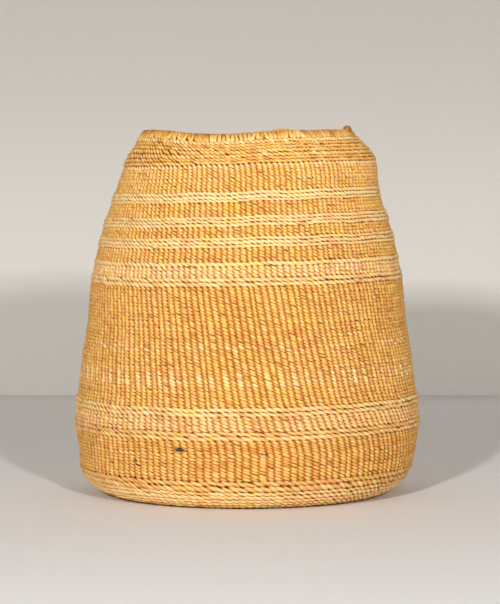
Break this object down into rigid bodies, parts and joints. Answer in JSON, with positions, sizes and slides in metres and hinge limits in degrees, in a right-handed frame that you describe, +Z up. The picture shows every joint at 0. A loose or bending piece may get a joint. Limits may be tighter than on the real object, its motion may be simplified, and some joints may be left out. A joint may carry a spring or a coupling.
{
  "type": "twined storage basket",
  "caption": "Round twined plant-fibre basket with a flat base, a full body and a drawn-in mouth, for holding small things.",
  "frame": {"origin": "on the surface that the basket stands on, under the middle of its base", "axes": "+Z up through the mouth; the knot on the rim is towards +X and the front of the picture towards -Y"},
  "size_m": [0.2214, 0.2214, 0.2312],
  "materials": {
    "ochre_weft": "matt dry plant fibre in plain twining",
    "straw_weft": "matt pale plant fibre in plain twining",
    "speckled_weft": "matt plant fibre, ochre and pale stitches mixed",
    "ochre_cord": "matt plant fibre in three-strand twining",
    "straw_cord": "matt pale plant fibre in three-strand twining",
    "overcast_strand": "matt plant fibre, overcast over the rim",
    "bare_stake": "dry bare plant stem",
    "brown_knot": "dry brown fibre knot"
  },
  "bodies": {
    "root": {"lower_crossed_stakes": "bare_stake", "upper_crossed_stakes": "bare_stake", "base_flat_rows": "ochre_weft", "base_turn_cord_rows": "ochre_cord", "base_edge_cord_rows": "straw_cord", "lower_ochre_rows": "ochre_weft", "lower_cord_rows": "straw_cord", "lower_straw_rows": "straw_weft", "body_foot_cord_rows": "straw_cord", "body_foot_rows": "ochre_weft", "body_speckled_rows": "speckled_weft", "body_middle_rows": "ochre_weft", "body_flecked_rows": "speckled_weft", "body_upper_rows": "ochre_weft", "waist_cord_rows": "straw_cord", "waist_straw_rows": "straw_weft", "waist_single_cord_row": "straw_cord", "first_upper_ochre_rows": "ochre_weft", "first_upper_cord_rows": "straw_cord", "second_upper_ochre_rows": "ochre_weft", "second_upper_cord_rows": "straw_cord", "third_upper_ochre_rows": "ochre_weft", "third_upper_cord_rows": "straw_cord", "shoulder_ochre_rows": "ochre_weft", "shoulder_straw_row": "straw_weft", "shoulder_cord_rows": "ochre_cord", "rim_turned_stakes": "bare_stake", "rim_overcasting": "overcast_strand", "rim_slack_loop": "overcast_strand", "rim_end_knot": "brown_knot"}
  },
  "joints": []
}
